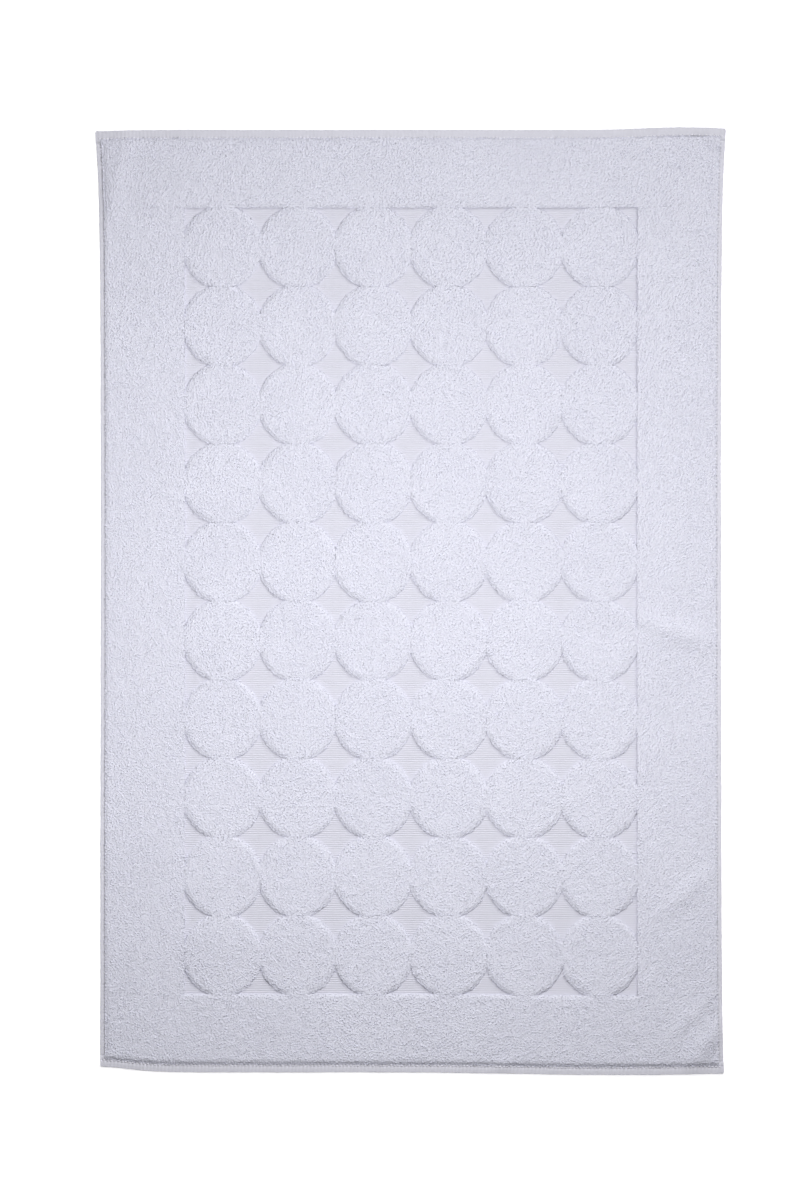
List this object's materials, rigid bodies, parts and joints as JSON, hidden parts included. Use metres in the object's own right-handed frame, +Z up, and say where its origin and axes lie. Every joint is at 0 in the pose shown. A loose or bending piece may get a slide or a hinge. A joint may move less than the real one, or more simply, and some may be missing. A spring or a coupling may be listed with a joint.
{
  "type": "bath mat",
  "caption": "Rectangular woven terry bath mat with a plain looped border, a panel of touching round tufted areas over bare ribbed cloth, and stitched double-fold hems.",
  "frame": {"origin": "middle of the underside, where the mat rests on the floor", "axes": "+X across the width, +Y along the length, +Z up through the looped face"},
  "size_m": [0.6, 0.91, 0.0074],
  "materials": {
    "face_terry": "cotton terry loops, soft and matt",
    "back_terry": "cotton terry loops, pressed flat by use",
    "ground_weave": "bare cotton ground cloth with fine crosswise ribs",
    "hem_weave": "flat cotton weave, folded and pressed",
    "sewing_thread": "twisted cotton sewing thread"
  },
  "bodies": {
    "root": {"back_pile": "back_terry", "bobbin_thread_bottom": "sewing_thread", "bobbin_thread_left": "sewing_thread", "bobbin_thread_right": "sewing_thread", "bobbin_thread_top": "sewing_thread", "border_pile_bottom": "face_terry", "border_pile_left": "face_terry", "border_pile_right": "face_terry", "border_pile_top": "face_terry", "circle_pile_row_01": "face_terry", "circle_pile_row_02": "face_terry", "circle_pile_row_03": "face_terry", "circle_pile_row_04": "face_terry", "circle_pile_row_05": "face_terry", "circle_pile_row_06": "face_terry", "circle_pile_row_07": "face_terry", "circle_pile_row_08": "face_terry", "circle_pile_row_09": "face_terry", "circle_pile_row_10": "face_terry", "ground_cloth": "ground_weave", "hem_bottom": "hem_weave", "hem_left": "hem_weave", "hem_right": "hem_weave", "hem_top": "hem_weave", "needle_thread_bottom": "sewing_thread", "needle_thread_left": "sewing_thread", "needle_thread_right": "sewing_thread", "needle_thread_top": "sewing_thread"}
  },
  "joints": []
}
